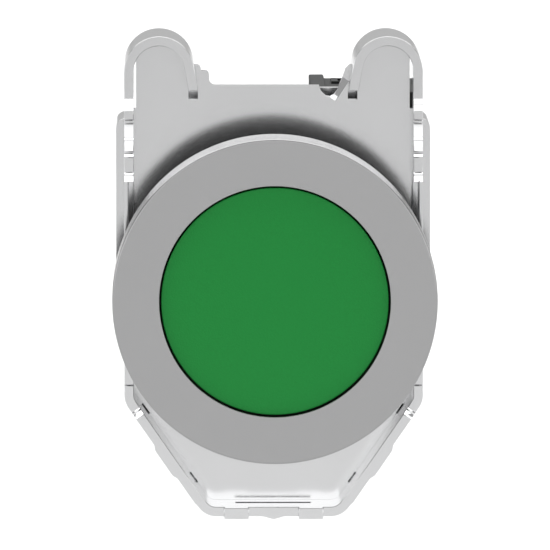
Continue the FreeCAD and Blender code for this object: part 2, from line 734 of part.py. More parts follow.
def lever_window():
    """The window that the locking ring's lever reaches through, over its whole turn."""
    half = math.degrees((TAB_W / 2 + LOOSE) / (RING_R - TAB_T))
    inner = RING_R - TAB_T - LOOSE
    return sector(RING_R + LOOSE, inner, REAR_Y - 1, REAR_Y + REAR + 1, 180 - half, 180 + LOCK_TURN + half)


def latch_slots():
    """The slots for the contact blocks' hooks: three places above and two below."""
    width, height = LATCH_SLOT
    places = [(x, LATCH_HIGH) for x in (-1, 0, 1)] + [(x, LATCH_LOW) for x in (-1, 1)]
    slots = []
    for x, z in places:
        x0 = x * POSITION_PITCH - width / 2
        z0 = z - height / 2
        slots.append(box(x0, x0 + width, REAR_Y - 1, REAR_Y + REAR + 1, z0, z0 + height))
    return Part.makeCompound(slots)


def mounting_frame():
    rear = REAR_Y + REAR
    corner = WING_X - WING_ROUND
    right = rear_plate().fuse(box(BAND_X, WING_X, WING_FRONT, REAR_Y, WING_BOTTOM, WING_TOP))
    rounding = box(corner, WING_X + 1, WING_FRONT - 1, rear + 1, WING_TOP - WING_ROUND, WING_TOP + 1)
    right = right.cut(rounding.cut(rod(WING_ROUND, WING_FRONT - 2, rear + 2, corner, WING_TOP - WING_ROUND)))
    frame = right.fuse(mirrored(right))
    frame = frame.cut(rod(TAIL_R + RUN, REAR_Y - 1, rear + 1))
    frame = frame.cut(rod(SCREW_HEAD_R + LOOSE, REAR_Y - 1, rear + 1, 0, SCREW_Z))
    return frame.cut(lever_window()).cut(latch_slots()).removeSplitter()


def locking_ring():
    ring = tube(RING_R, TAIL_R + RUN, RING_Y, RING_Y + RING)
    half = math.degrees(LUG_W / 2 / TAIL_R)
    lug_y = GROOVE_Y + LOOSE / 2
    lug_end = GROOVE_Y + GROOVE_W - LOOSE / 2
    for angle in LUG_ANGLES:
        lug = sector(TAIL_R + RUN + FIT, TAIL_R - LUG_DEPTH, lug_y, lug_end, -half, half)
        ring = ring.fuse(turn(lug, angle))
    reach = math.degrees(TAB_W / 2 / RING_R)
    tab = sector(RING_R, RING_R - TAB_T, RING_Y, TAB_END, 180 - reach, 180 + reach)
    grip = sector(RING_R + GRIP, RING_R - TAB_T, TAB_END - TAB_T, TAB_END, 180 - reach, 180 + reach)
    return ring.fuse(tab).fuse(grip).removeSplitter()


# --- fixing screw --------------------------------------------------------------------------------
def pressure_pad():
    pad = rod(PAD_R, BAND_FRONT, BAND_FRONT + PAD, 0, SCREW_Z)
    return pad.cut(rod(PIN_R + FIT, BAND_FRONT + PAD - PIN - TOUCH, BAND_FRONT + PAD + 1, 0, SCREW_Z))


def fixing_screw():
    tip = BAND_FRONT + PAD + TOUCH
    head = BLOCK_Y + PAD_TRAVEL - REAR + TOUCH
    return screw(0, SCREW_Z, head, SCREW_HEAD_R, SCREW_HEAD, SCREW_R, tip, PIN_R, PIN)


# --- contact block -------------------------------------------------------------------------------
def block_span():
    """The block's lowest and highest x."""
    return BLOCK_X - BLOCK_W / 2, BLOCK_X + BLOCK_W / 2


def terminal_heights():
    """The heights of the lower and the upper terminal."""
    return BLOCK_MID - TERMINAL_OFFSET, BLOCK_MID + TERMINAL_OFFSET


def block_housing():
    x0, x1 = block_span()
    wall = BLOCK_WALL
    shell = box(x0, x1, BLOCK_Y, BLOCK_END, BLOCK_BOTTOM, BLOCK_TOP)
    inside = box(x0 + wall, x1 - wall, BLOCK_Y + wall, BLOCK_END + 1, BLOCK_BOTTOM + wall, BLOCK_TOP - wall)
    rail_x = x0 - RAIL
    rail_top = BLOCK_TOP + RAIL
    rail = box(rail_x, rail_x + RAIL_W, BLOCK_Y, BLOCK_END, rail_top - RAIL_H, rail_top)
    shell = shell.fuse(rail).cut(inside)
    half_w = PLUNGER_W / 2 + FIT
    half_h = PLUNGER_H / 2 + FIT
    window_end = BLOCK_Y + wall + 1
    shell = shell.cut(box(PLUNGER_X - half_w, PLUNGER_X + half_w, BLOCK_Y - 1, window_end, -half_h, half_h))
    entry = STRIP_Y + STRIP
    for z0, z1 in ((BLOCK_BOTTOM - 1, BLOCK_BOTTOM + wall + 1), (BLOCK_TOP - wall - 1, BLOCK_TOP + 1)):
        half = WIRE_W / 2
        shell = shell.cut(box(BLOCK_X - half, BLOCK_X + half, entry, entry + CLAMP_OPEN, z0, z1))
    return shell.removeSplitter()


def block_cover():
    x0, x1 = block_span()
    gap = BLOCK_WALL + FIT
    cover = box(x0 + gap, x1 - gap, BLOCK_END - COVER, BLOCK_END, BLOCK_BOTTOM + gap, BLOCK_TOP - gap)
    for z in terminal_heights():
        cover = cover.cut(rod(T_HEAD_R + RUN, BLOCK_END - COVER - 1, BLOCK_END + 1, BLOCK_X, z))
    bore = POST / 2 + STOP + RUN
    tower = tube(bore + TOWER_WALL, bore, POST_ROOM, BLOCK_END - COVER, BLOCK_X, BLOCK_MID)
    return cover.fuse(tower)


def contact_plunger():
    half_w = PLUNGER_W / 2
    half_h = PLUNGER_H / 2
    stem = box(PLUNGER_X - half_w, PLUNGER_X + half_w, FOOT_END + TOUCH, YOKE_Y, -half_h, half_h)
    yoke_x = BLOCK_X + YOKE_PAST_X
    yoke = box(PLUNGER_X - half_w, yoke_x, YOKE_Y, YOKE_Y + YOKE, -half_h, BLOCK_MID + YOKE_PAST_Z)
    post = rod(POST / 2, YOKE_Y + YOKE, POST_END, BLOCK_X, BLOCK_MID)
    stop_y = BRIDGE_Y + BRIDGE + TOUCH
    stop = rod(POST / 2 + STOP, stop_y, stop_y + STOP, BLOCK_X, BLOCK_MID)
    return stem.fuse(yoke).fuse(post).fuse(stop).removeSplitter()


def block_spring(radius, y0, y1, turns):
    """A spring round the plunger's post."""
    return helix_spring(radius, BLOCK_WIRE_R, y0 + TOUCH, y1 - TOUCH, turns, BLOCK_X, BLOCK_MID)


def contact_spring():
    radius = POST / 2 + CONTACT_SPRING_GAP + BLOCK_WIRE_R
    return block_spring(radius, YOKE_Y + YOKE, BRIDGE_Y, CONTACT_SPRING_TURNS)


def plunger_spring():
    radius = POST / 2 + PLUNGER_SPRING_GAP + BLOCK_WIRE_R
    stop_rear = BRIDGE_Y + BRIDGE + TOUCH + STOP
    return block_spring(radius, stop_rear, BLOCK_END - COVER, PLUNGER_SPRING_TURNS)


def moving_bridge():
    half_w = BRIDGE_W / 2
    z0 = BLOCK_MID - BRIDGE_L / 2
    bar = box(BLOCK_X - half_w, BLOCK_X + half_w, BRIDGE_Y, BRIDGE_Y + BRIDGE, z0, z0 + BRIDGE_L)
    return bar.cut(rod(POST / 2 + FIT, BRIDGE_Y - 1, BRIDGE_Y + BRIDGE + 1, BLOCK_X, BLOCK_MID))


def tip_pair(y0):
    """Two round contact tips, one above the other, as one group of solids."""
    heights = (BLOCK_MID - TIP_OFFSET, BLOCK_MID + TIP_OFFSET)
    return Part.makeCompound([rod(TIP_R, y0, y0 + TIP, BLOCK_X, z) for z in heights])


def fixed_terminal(side):
    """A fixed contact strip, below (-1) or above (+1) the block's middle."""
    inner = BLOCK_MID + side * (TIP_OFFSET - TIP_R)
    outer = BLOCK_MID + side * (TERMINAL_OFFSET + CLAMP_W / 2)
    z0, z1 = sorted((inner, outer))
    strip = box(BLOCK_X - STRIP_W / 2, BLOCK_X + STRIP_W / 2, STRIP_Y, STRIP_Y + STRIP, z0, z1)
    hole_z = BLOCK_MID + side * TERMINAL_OFFSET
    return strip.cut(rod(T_SCREW_R + FIT, STRIP_Y - 1, STRIP_Y + STRIP + 1, BLOCK_X, hole_z))


def terminal_clamp(side):
    z = BLOCK_MID + side * TERMINAL_OFFSET
    half = CLAMP_W / 2
    clamp = box(BLOCK_X - half, BLOCK_X + half, CLAMP_Y, CLAMP_Y + CLAMP, z - half, z + half)
    return clamp.cut(rod(T_SCREW_R + FIT, CLAMP_Y - 1, CLAMP_Y + CLAMP + 1, BLOCK_X, z))


def terminal_screw(side):
    z = BLOCK_MID + side * TERMINAL_OFFSET
    head_y = CLAMP_Y + CLAMP + TOUCH
    return screw(BLOCK_X, z, head_y, T_HEAD_R, T_HEAD, T_SCREW_R, STRIP_Y - T_SCREW_REACH)


PIECES = {
    "bezel_ring": bezel_ring,
    "wiper_seal": wiper_seal,
    "head_barrel": head_barrel,
    "panel_gasket": panel_gasket,
    "guide_sleeve": guide_sleeve,
    "retaining_ring": retaining_ring,
    "return_spring": return_spring,
    "push_cap": push_cap,
    "pusher_stem": pusher_stem,
    "actuator_foot": actuator_foot,
    "collar_band": collar_band,
    "collar_plate": collar_plate,
    "mounting_frame": mounting_frame,
    "locking_ring": locking_ring,
    "pressure_pad": pressure_pad,
    "fixing_screw": fixing_screw,
    "block_housing": block_housing,
    "block_cover": block_cover,
    "contact_plunger": contact_plunger,
    "contact_spring": contact_spring,
    "plunger_spring": plunger_spring,
    "moving_bridge": moving_bridge,
    "bridge_tips": lambda: tip_pair(BRIDGE_Y + BRIDGE),
    "fixed_tips": lambda: tip_pair(STRIP_Y - TIP),
    "terminal_lower": lambda: fixed_terminal(-1),
    "terminal_upper": lambda: fixed_terminal(1),
    "clamp_lower": lambda: terminal_clamp(-1),
    "clamp_upper": lambda: terminal_clamp(1),
    "terminal_screw_lower": lambda: terminal_screw(-1),
    "terminal_screw_upper": lambda: terminal_screw(1),
}


def main():
    os.makedirs("parts", exist_ok=True)
    for name, make in PIECES.items():
        shape = make()
        if not shape.isValid():
            raise RuntimeError(name + " is not a valid solid")
        shape.exportStep(os.path.join("parts", name + ".step"))
        size = shape.BoundBox
        print(name, len(shape.Solids), "solid(s)", round(shape.Volume, 1), "mm3",
              [round(v, 2) for v in (size.XMin, size.YMin, size.ZMin, size.XMax, size.YMax, size.ZMax)])


main()
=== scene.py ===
"""Looks for the panel push button: its finished pieces, stage and camera, round its CAD frame."""
import json
import math

import bmesh
import bpy
from mathutils import Matrix, Vector


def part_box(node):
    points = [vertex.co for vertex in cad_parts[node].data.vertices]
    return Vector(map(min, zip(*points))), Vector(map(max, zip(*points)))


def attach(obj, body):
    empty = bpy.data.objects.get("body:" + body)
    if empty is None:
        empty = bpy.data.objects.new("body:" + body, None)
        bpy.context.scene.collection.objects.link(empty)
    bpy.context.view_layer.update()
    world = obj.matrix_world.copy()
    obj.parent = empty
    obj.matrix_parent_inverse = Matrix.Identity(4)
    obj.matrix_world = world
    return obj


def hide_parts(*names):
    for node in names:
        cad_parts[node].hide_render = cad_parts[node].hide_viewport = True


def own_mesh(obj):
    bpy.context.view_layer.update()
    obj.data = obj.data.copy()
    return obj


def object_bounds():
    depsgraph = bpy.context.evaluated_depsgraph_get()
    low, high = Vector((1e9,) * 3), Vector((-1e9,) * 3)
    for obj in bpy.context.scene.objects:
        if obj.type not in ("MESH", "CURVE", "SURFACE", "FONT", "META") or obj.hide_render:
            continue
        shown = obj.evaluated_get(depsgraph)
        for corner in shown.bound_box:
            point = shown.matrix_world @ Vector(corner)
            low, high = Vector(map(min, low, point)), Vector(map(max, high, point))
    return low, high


bl_info = {
    "name": "Panel push button",
    "version": (1, 0, 0),
    "blender": (4, 5, 0),
    "location": "View3D > Sidebar > Push button",
    "description": "Builds the visible pieces of a panel push button round its CAD frame",
    "category": "Add Mesh",
}

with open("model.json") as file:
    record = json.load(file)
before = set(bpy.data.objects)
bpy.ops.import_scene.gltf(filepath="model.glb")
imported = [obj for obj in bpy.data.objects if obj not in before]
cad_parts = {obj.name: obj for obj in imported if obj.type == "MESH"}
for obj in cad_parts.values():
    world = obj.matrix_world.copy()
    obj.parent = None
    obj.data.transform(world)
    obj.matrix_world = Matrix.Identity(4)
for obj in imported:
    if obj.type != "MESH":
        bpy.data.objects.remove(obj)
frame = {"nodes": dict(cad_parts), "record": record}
CAD_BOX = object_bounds()
MM = 0.001
ORIGIN = Vector((0, 0, 0))
AXIS = Vector((0, 1, 0))
ROUND_STEPS = 160        # faces round a turned piece
WIND_STEPS = 32          # faces to one turn of a spring
THREAD_STEPS = 24        # and of a screw's thread
SHARP = math.radians(32)    # edges sharper than this are rounded
FLAT = math.radians(0.6)    # faces that lean less than this against each other are joined
SAME_PLACE = 1e-7        # corners nearer than this are joined

# --- stage ---------------------------------------------------------------------------------------
FLOOR_SIZE = 6.0         # half the floor's width
FLOOR_GAP = 0.03         # from the object's lowest point down to the floor
FLOOR_GREY = 0.7
AIM_HEIGHT = 2.4 * MM    # where the camera looks, above the head's axis
SIGHT_END = 20.0         # how far the camera sees
REAR_BOX = ((0, 1.05, 0.9), 2.4, 1.5)       # place, width and depth of each softbox
TOP_BOX = ((0, -0.125, 2.5), 5.0, 1.75)
SKY_TURN = 0.6           # the sky changes from front to back within this of the middle, on a unit ball
SKY_LOW = 0.2            # and from its edge to its top between these heights
SKY_HIGH = 0.45

# --- finishes ------------------------------------------------------------------------------------
NOISE_LOW = 0.3          # most of a noise texture's values lie between these two
NOISE_HIGH = 0.7
METAL_CLOUDS = 220.0     # clouds to a metre
METAL_GRAIN = 9000.0     # grains to a metre
METAL_DEPTH = 0.4e-6     # height of a metal's grain

# --- sizes that the CAD boxes don't give ----------------------------------------------------------
CAP_GAP = 0.18 * MM      # between the cap's rim and the bezel
CAP_DISH = 0.25 * MM     # depth of the finger dish
CAP_THICK = 1.8 * MM
CAP_WALL = 0.8 * MM
CAP_RIM = 2              # the dish ends this many roundings inside the cap's side
DISH_RINGS = 14
RIM_STEPS = 4            # faces across the rounding of the bezel's front rim
BORE_EDGE = 0.04 * MM    # rounding of the bezel's other edges
SEAL_GAP = 0.05 * MM     # between the cap's skirt and the seal's two lips
SEAL_LIP = 0.25 * MM     # width of a lip
SEAL_BITE = 0.12 * MM    # how far the lips stand out of the seal's body
SEAL_EDGE = 0.03 * MM
GASKET_BORE_R = 11.45 * MM
GASKET_EDGE = 0.12 * MM
RETURN_WIRE_R = 0.45 * MM
RETURN_TURNS = 4         # turns between a spring's two closed ends
BLOCK_WIRE_R = 0.2 * MM
PLUNGER_TURNS = 8
CONTACT_TURNS = 3
END_RISE = 2.1           # rise of a spring's end turn, in radii of its wire
FIXING_R = 1.25 * MM     # radius of the fixing screw's thread
FIXING_PITCH = 0.45 * MM
TERMINAL_R = 1.5 * MM    # and of the terminal screws'
TERMINAL_PITCH = 0.5 * MM
SCREW_CORE = 0.8         # a screw's core, as a share of its thread's radius
THREAD_SINK = 0.04 * MM  # the thread's foot lies this far inside the core
THREAD_FOOT = 0.84       # width of the thread's foot, as a share of the pitch
THREAD_CREST = 0.12      # and of its crest
THREAD_SHORT = 1.5       # pitches of the shank that are left out before its whole turns are counted
RIB_PITCH = 1.3 * MM
RIB_PROUD = 0.2 * MM
RIB_WIDE = 0.6 * MM
RIB_FROM = 12.0 * MM     # the ribs start this far behind the housing's front
RIB_MARGIN = 5 * MM      # from the ribs' ends to the housing's lowest and highest point
RIBS = 7
FUNNEL_PROUD = 0.25 * MM
FUNNEL_RIM = 0.6 * MM
WIRE_ENTRY = 5.0 * MM    # width of a wire entry
ENTRY_DEEP = 3.3 * MM    # from a wire entry's front to the terminal clamp
CLAMP_COVER = 1.1 * MM   # from the upper clamp to the housing's upper face


class PushButtonSettings(bpy.types.PropertyGroup):
    """Sizes and colours of the push button"""

    cap_colour: bpy.props.FloatVectorProperty(
        name="Cap colour", description="Colour of the moulded cap", subtype="COLOR",
        size=3, min=0, max=1, default=(0.0109, 0.229, 0.039))
    cap_grain: bpy.props.FloatProperty(
        name="Cap grain", description="Size of the cap's moulded grain", subtype="DISTANCE",
        default=0.16 * MM, min=0.01 * MM)
    cap_edge: bpy.props.FloatProperty(
        name="Cap rounding", description="Rounding of the cap's rim", subtype="DISTANCE",
        default=0.07 * MM, min=0)
    bezel_colour: bpy.props.FloatVectorProperty(
        name="Bezel colour", description="Colour of the plated bezel", subtype="COLOR",
        size=3, min=0, max=1, default=(0.377, 0.377, 0.379))
    rim_edge: bpy.props.FloatProperty(
        name="Rim rounding", description="Rounding of the bezel's front rim", subtype="DISTANCE",
        default=0.16 * MM, min=0)
    collar_colour: bpy.props.FloatVectorProperty(
        name="Collar colour", description="Colour of the plated collar", subtype="COLOR",
        size=3, min=0, max=1, default=(0.715, 0.717, 0.723))
    edge: bpy.props.FloatProperty(
        name="Sheet rounding", description="Rounding of the sheet metal's edges", subtype="DISTANCE",
        default=0.06 * MM, min=0)
    moulded_edge: bpy.props.FloatProperty(
        name="Moulded rounding", description="Rounding of moulded and cast edges", subtype="DISTANCE",
        default=0.14 * MM, min=0)
    wire_sides: bpy.props.IntProperty(
        name="Wire sides", description="Sides of a spring's wire", default=12, min=6, max=32)


class PushButtonStageSettings(bpy.types.PropertyGroup):
    """The camera's place and the studio's lights"""

    camera_distance: bpy.props.FloatProperty(
        name="Camera distance", description="From the bezel's front to the camera", subtype="DISTANCE",
        default=1.35, min=0.2)
    camera_elevation: bpy.props.FloatProperty(
        name="Camera elevation", description="Height of the camera's view above level", subtype="ANGLE",
        default=math.radians(4.1))
    camera_azimuth: bpy.props.FloatProperty(
        name="Camera azimuth", description="Turn of the camera round the object", subtype="ANGLE",
        default=math.radians(-0.5))
    view_width: bpy.props.FloatProperty(
        name="View width", description="Width of the view at the bezel's front", subtype="DISTANCE",
        default=48.93 * MM, min=0.001)
    sky_front: bpy.props.FloatProperty(
        name="Sky in front", description="Brightness low down behind the camera", default=1.6, min=0)
    sky_back: bpy.props.FloatProperty(
        name="Sky behind", description="Brightness low down behind the object", default=0.5, min=0)
    sky_top: bpy.props.FloatProperty(
        name="Sky overhead", description="Brightness of the rest of the sky", default=0.42, min=0)
    rear_glow: bpy.props.FloatProperty(
        name="Rear softbox", description="Brightness of the light above the rear floor",
        default=1.85, min=0)
    top_glow: bpy.props.FloatProperty(
        name="Top softbox", description="Brightness of the light overhead", default=2.15, min=0)


def settings():
    """The sizes and colours that a user may change."""
    return bpy.context.scene.push_button


# --- materials -----------------------------------------------------------------------------------
def material(name, colour, metallic, roughness, **sockets):
    """A new material with these constants on its shader, and its node tree's parts."""
    made = bpy.data.materials.new(name)
    made.use_nodes = True
    shader = made.node_tree.nodes["Principled BSDF"]
    shader.inputs["Base Color"].default_value = (*colour, 1)
    shader.inputs["Metallic"].default_value = metallic
    shader.inputs["Roughness"].default_value = roughness
    for socket, value in sockets.items():
        shader.inputs[socket.replace("_", " ")].default_value = value
    made.diffuse_color = (*colour, 1)
    return made, made.node_tree, shader


def noise(tree, scale, detail):
    """A noise texture on object coordinates. Scale is in cells per metre."""
    coords = tree.nodes.new("ShaderNodeTexCoord")
    texture = tree.nodes.new("ShaderNodeTexNoise")
    texture.inputs["Scale"].default_value = scale
    texture.inputs["Detail"].default_value = detail
    tree.links.new(coords.outputs["Object"], texture.inputs["Vector"])
    return texture.outputs["Fac"]


def spread(tree, value, low, high, start=NOISE_LOW, end=NOISE_HIGH, change="LINEAR"):
    """A change from low to high as the value goes from start to end, and level beyond them."""
    ramp = tree.nodes.new("ShaderNodeMapRange")
    ramp.interpolation_type = change
    ramp.inputs["From Min"].default_value = start
    ramp.inputs["From Max"].default_value = end
    ramp.inputs["To Min"].default_value = low
    ramp.inputs["To Max"].default_value = high
    tree.links.new(value, ramp.inputs["Value"])
    return ramp.outputs["Result"]


def tinted(tree, value, colour, share):
    """The colour, darker and lighter by this share as the value changes."""
    mix = tree.nodes.new("ShaderNodeMix")
    mix.data_type = "RGBA"
    mix.inputs["A"].default_value = (*[c * (1 - share) for c in colour], 1)
    mix.inputs["B"].default_value = (*[min(1, c * (1 + share)) for c in colour], 1)
    tree.links.new(value, mix.inputs["Factor"])
    return mix.outputs["Result"]


def bump(tree, shader, height, depth):
    """A bump of this depth in metres on the shader's normal."""
    node = tree.nodes.new("ShaderNodeBump")
    node.inputs["Strength"].default_value = 1.0
    node.inputs["Distance"].default_value = depth
    tree.links.new(height, node.inputs["Height"])
    tree.links.new(node.outputs["Normal"], shader.inputs["Normal"])


def plated_metal(name, colour, roughness, cloud):
    """Plated metal: faint clouds in its colour, and a fine grain in its gloss and its surface."""
    made, tree, shader = material(name, colour, 1.0, roughness)
    clouds = noise(tree, METAL_CLOUDS, 4.0)
    fine = noise(tree, METAL_GRAIN, 2.0)
    tree.links.new(tinted(tree, clouds, colour, cloud), shader.inputs["Base Color"])
    tree.links.new(spread(tree, fine, roughness * 0.9, roughness * 1.12), shader.inputs["Roughness"])
    bump(tree, shader, fine, METAL_DEPTH)
    return made


def moulded_plastic(name, colour, roughness, grain, depth, share=0.04, specular=0.5):
    """Moulded plastic with an even grain."""
    made, tree, shader = material(name, colour, 0.0, roughness, Specular_IOR_Level=specular)
    fine = noise(tree, grain, 2.0)
    tree.links.new(tinted(tree, fine, colour, share), shader.inputs["Base Color"])
    tree.links.new(spread(tree, fine, roughness * 0.92, roughness * 1.08), shader.inputs["Roughness"])
    bump(tree, shader, fine, depth)
    return made


def finishes():
    """One material for each material slot of the record."""
    look = settings()
    return {
        "bezel_metal": plated_metal("bezel_metal", look.bezel_colour, 0.24, 0.015),
        "collar_metal": plated_metal("collar_metal", look.collar_colour, 0.12, 0.02),
        "barrel_metal": plated_metal("barrel_metal", (0.42, 0.42, 0.43), 0.38, 0.06),
        "green_plastic": moulded_plastic(
            "green_plastic", look.cap_colour, 0.42, 1 / look.cap_grain, 14e-6, 0.1, 0.15),
        "black_rubber": moulded_plastic("black_rubber", (0.018, 0.018, 0.018), 0.6, 5000.0, 2e-6),
        "white_plastic": moulded_plastic("white_plastic", (0.72, 0.72, 0.69), 0.42, 5000.0, 1.5e-6),
        "black_plastic": moulded_plastic(
            "black_plastic", (0.012, 0.013, 0.013), 0.6, 4500.0, 3e-6, specular=0.2),
        "green_carrier": moulded_plastic("green_carrier", (0.05, 0.25, 0.08), 0.4, 5000.0, 1.5e-6),
        "spring_steel": plated_metal("spring_steel", (0.5, 0.5, 0.5), 0.22, 0.05),
        "zinc_steel": plated_metal("zinc_steel", (0.66, 0.67, 0.66), 0.3, 0.06),
        "contact_copper": plated_metal("contact_copper", (0.72, 0.47, 0.24), 0.3, 0.08),
        "silver": plated_metal("silver", (0.86, 0.86, 0.84), 0.2, 0.03),
    }


MADE = {}


def finish(obj, slot):
    """Gives a piece the finish of a material slot."""
    if not MADE:
        MADE.update(finishes())
    obj.data.materials.clear()
    obj.data.materials.append(MADE[slot])


# --- places from the frame -----------------------------------------------------------------------
def corners(node):
    """A CAD node's lowest and highest corner."""
    low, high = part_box(node)
    return Vector(low), Vector(high)


def axis_through(node):
    """Where a round node's own axis crosses the plane y = 0."""
    low, high = corners(node)
    return Vector(((low.x + high.x) / 2, 0, (low.z + high.z) / 2))


def body_of_node(node):
    """The body that holds a CAD node."""
    bodies = frame["record"]["behaviour"]["bodies"]
    return next(body for body, nodes in bodies.items() if node in nodes)


def slot_of_node(node):
    """The material slot of a CAD node."""
    return next(row["material_slot"] for row in frame["record"]["subparts"] if row["node"] == node)


# --- shapes --------------------------------------------------------------------------------------
def new_piece(name, bm, slot, body, nodes=()):
    """A finished piece from a bmesh: faces outwards, smooth where it is round, riding on its body."""
    bmesh.ops.remove_doubles(bm, verts=bm.verts, dist=SAME_PLACE)
    bmesh.ops.recalc_face_normals(bm, faces=bm.faces)
    for face in bm.faces:
        face.smooth = any(edge.calc_face_angle(0) < SHARP for edge in face.edges)
    mesh = bpy.data.meshes.new(name)
    bm.to_mesh(mesh)
    bm.free()
    mesh.set_sharp_from_angle(angle=SHARP)
    obj = bpy.data.objects.new(name, mesh)
    bpy.context.collection.objects.link(obj)
    finish(obj, slot)
    if nodes:
        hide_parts(*nodes)
    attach(obj, body)
    return obj


def bevelled(obj, width, segments=2):
    """A live rounding of the piece's sharp edges, with normals that lean on its larger faces."""
    bevel = obj.modifiers.new("rounded_edges", "BEVEL")
    bevel.width = width
    bevel.segments = segments
    bevel.limit_method = "ANGLE"
    bevel.angle_limit = SHARP
    flat = obj.modifiers.new("flat_faces", "WEIGHTED_NORMAL")
    flat.keep_sharp = True
    return obj


def copy_of(node):
    """A CAD node's mesh with its corners joined and its flat faces whole."""
    bm = bmesh.new()
    bm.from_mesh(frame["nodes"][node].data)
    bmesh.ops.remove_doubles(bm, verts=bm.verts, dist=SAME_PLACE)
    bmesh.ops.dissolve_limit(
        bm, angle_limit=FLAT, verts=bm.verts, edges=bm.edges, use_dissolve_boundaries=False)
    return bm


def rounded_copy(node, width, segments=2):
    """A piece with a CAD node's shape and rounded edges."""
    obj = new_piece(node + "_finished", copy_of(node), slot_of_node(node), body_of_node(node), [node])
    return bevelled(obj, width, segments)


def turned(name, outline, node, rounding, closed=True):
    """A piece turned about the head's axis from a (radius, y) outline. Open outlines end on the axis."""
    bm = bmesh.new()
    verts = [bm.verts.new((radius, y, 0)) for radius, y in outline]
    ends = verts[1:] + verts[:1] if closed else verts[1:]
    edges = [bm.edges.new(pair) for pair in zip(verts, ends)]
    bmesh.ops.spin(
        bm, geom=verts + edges, cent=ORIGIN, axis=AXIS, angle=2 * math.pi, steps=ROUND_STEPS,
        use_merge=True)
    obj = new_piece(name, bm, slot_of_node(node), body_of_node(node), [node])
    return bevelled(obj, rounding, 3)


def wind(bm, section, centre, turns, rise, steps):
    """Winds a closed section round an axis along Y, rising with each turn. Returns the last section."""
    wound = bmesh.ops.spin(
        bm, geom=section, cent=centre, axis=AXIS, dvec=AXIS * (rise / steps),
        angle=2 * math.pi * turns, steps=round(turns * steps))
    return wound["geom_last"]


def close_ends(bm):
    """Fills the two open ends of a wound section."""
    bmesh.ops.holes_fill(bm, edges=[edge for edge in bm.edges if edge.is_boundary], sides=0)


def box_in(bm, low, high):
    """Adds a block between two corners to a bmesh."""
    made = bmesh.ops.create_cube(bm, size=1)
    bmesh.ops.scale(bm, vec=high - low, verts=made["verts"])
    bmesh.ops.translate(bm, vec=(low + high) / 2, verts=made["verts"])


def spring(node, wire, active):
    """A coil spring with closed ends."""
    low, high = corners(node)
    centre = axis_through(node)
    radius = (high.x - low.x) / 2 - wire
    end = END_RISE * wire
    pitch = (high.y - low.y - 2 * wire - 2 * end) / active
    bm = bmesh.new()
    ring = bmesh.ops.create_circle(bm, segments=settings().wire_sides, radius=wire)
    start = centre + Vector((radius, low.y + wire, 0))
    bmesh.ops.translate(bm, vec=start, verts=ring["verts"])
    section = list(bm.verts) + list(bm.edges)
    section = wind(bm, section, centre, 1, end, WIND_STEPS)
    section = wind(bm, section, centre, active, pitch, WIND_STEPS)
    wind(bm, section, centre, 1, end, WIND_STEPS)
    close_ends(bm)
    obj = new_piece(node + "_coil", bm, slot_of_node(node), body_of_node(node), [node])
    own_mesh(obj)


def screw(node, thread_r, pitch, rounding):
    """A screw with the CAD's head and slots, a thinner core and a wound thread at the CAD's radius."""
    centre = axis_through(node)
    bm = copy_of(node)
    shank = [v for v in bm.verts if abs((v.co - centre).xz.length - thread_r) < THREAD_SINK]
    neck = max(v.co.y for v in shank)
    tip = min(v.co.y for v in shank)
    bmesh.ops.scale(
        bm, vec=(SCREW_CORE, 1, SCREW_CORE), space=Matrix.Translation(-centre), verts=shank)
    body = body_of_node(node)
    slot = slot_of_node(node)
    bevelled(new_piece(node + "_finished", bm, slot, body, [node]), rounding)
    thread = bmesh.new()
    foot = thread_r * SCREW_CORE - THREAD_SINK
    half_foot, half_crest = pitch * THREAD_FOOT / 2, pitch * THREAD_CREST / 2
    outline = ((foot, -half_foot), (thread_r, -half_crest), (thread_r, half_crest), (foot, half_foot))
    verts = [thread.verts.new(centre + Vector((r, tip + pitch / 2 + y, 0))) for r, y in outline]
    edges = [thread.edges.new(pair) for pair in zip(verts, verts[1:] + verts[:1])]
    turns = math.floor((neck - tip - THREAD_SHORT * pitch) / pitch)
    wind(thread, verts + edges, centre, turns, pitch, THREAD_STEPS)
    close_ends(thread)
    new_piece(node + "_thread", thread, slot, body)


# --- the pieces ----------------------------------------------------------------------------------
class PUSH_OT_bezel(bpy.types.Operator):
    """Turns the metal bezel, with its grooves for the seal and the barrel's flange"""

    bl_idname = "push_button.bezel"
    bl_label = "Bezel"

    def execute(self, context):
        low, high = corners("bezel_ring")
        seal_low, seal_high = corners("wiper_seal")
        flange_low, flange_high = corners("head_barrel")
        bore = corners("push_cap")[1].x + CAP_GAP
        rim = settings().rim_edge
        outline = [(bore, low.y)]
        for step in range(RIM_STEPS + 1):
            lean = math.pi / 2 * step / RIM_STEPS
            outline.append((high.x - rim * (1 - math.sin(lean)), low.y + rim * (1 - math.cos(lean))))
        outline += [
            (high.x, high.y),
            (flange_high.x, high.y),
            (flange_high.x, flange_low.y),
            (bore, flange_low.y),
            (bore, seal_high.y),
            (seal_high.x, seal_high.y),
            (seal_high.x, seal_low.y),
            (bore, seal_low.y),
        ]
        turned("bezel", outline, "bezel_ring", BORE_EDGE)
        return {"FINISHED"}


class PUSH_OT_cap(bpy.types.Operator):
    """Turns the push cap, with its finger dish and its skirt"""

    bl_idname = "push_button.cap"
    bl_label = "Cap"

    def execute(self, context):
        low, high = corners("push_cap")
        rim = high.x - settings().cap_edge * CAP_RIM
        inside = high.x - CAP_WALL
        dish = []
        for ring in range(DISH_RINGS + 1):
            share = ring / DISH_RINGS
            dish.append((rim * share, low.y + CAP_DISH * (1 - share ** 2)))
        skirt = [
            (high.x, low.y),
            (high.x, high.y),
            (inside, high.y),
            (inside, low.y + CAP_THICK),
            (0, low.y + CAP_THICK),
        ]
        turned("cap", dish + skirt, "push_cap", settings().cap_edge, closed=False)
        return {"FINISHED"}


